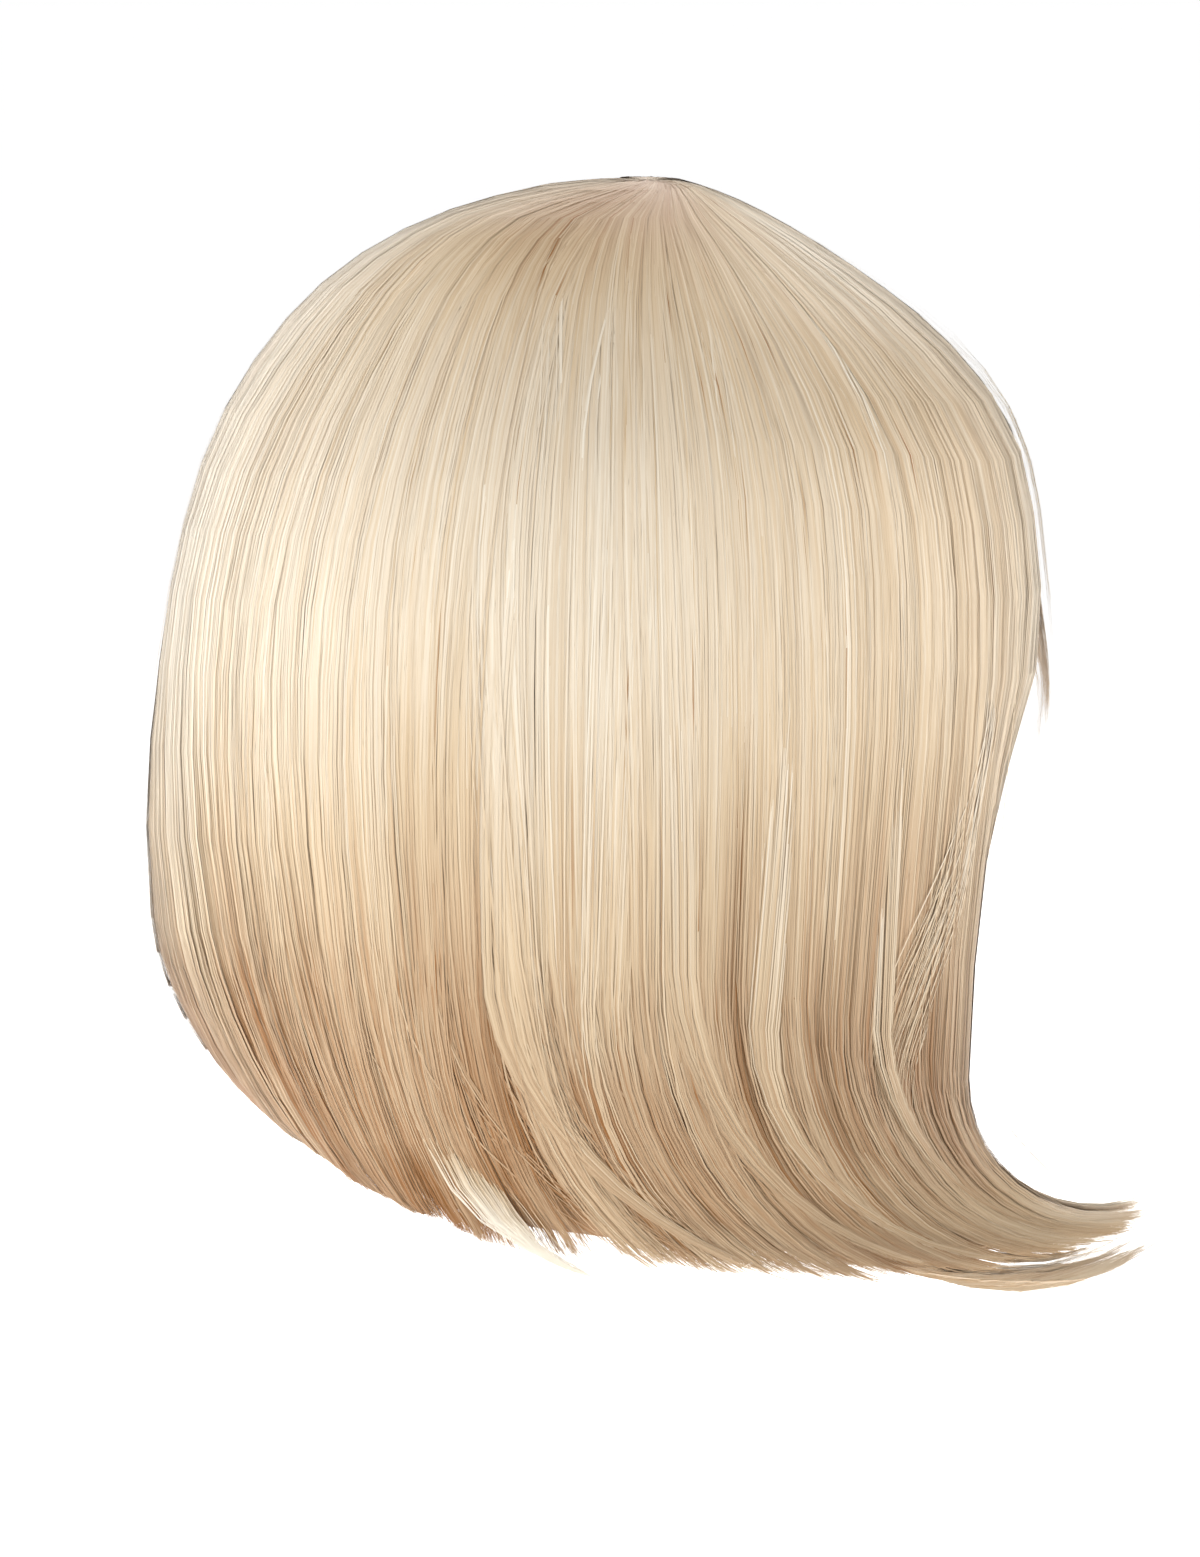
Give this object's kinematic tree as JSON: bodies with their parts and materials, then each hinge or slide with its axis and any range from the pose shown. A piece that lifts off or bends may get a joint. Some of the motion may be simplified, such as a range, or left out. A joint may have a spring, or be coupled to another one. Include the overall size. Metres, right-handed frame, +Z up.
{
  "type": "bob wig",
  "caption": "Chin-length bob wig of straight hair on a stretch cap, with a side-swept fringe, ends turned under on one side and flipped out on the other.",
  "frame": {"origin": "the inside top of the cap, where the top of the head touches it", "axes": "+Z up along the head, the face looks along -Y, +X points to the wearer's left"},
  "size_m": [0.2583, 0.2455, 0.2819],
  "materials": {
    "hair": "glossy fine synthetic hair, pale blond",
    "hair_fringe": "glossy fine synthetic hair, lightest blond",
    "hair_under": "glossy fine synthetic hair, darker blond",
    "cap_net": "matt fine stretch net, beige"
  },
  "bodies": {
    "root": {"cap": "cap_net", "crown_whorl": "hair_under", "side_left": "hair", "back_left": "hair", "back_centre": "hair", "back_right": "hair", "side_right": "hair", "front_right": "hair", "fringe": "hair_fringe", "nape_left": "hair_under", "nape_right": "hair_under", "flip_lower": "hair_under"}
  },
  "joints": []
}
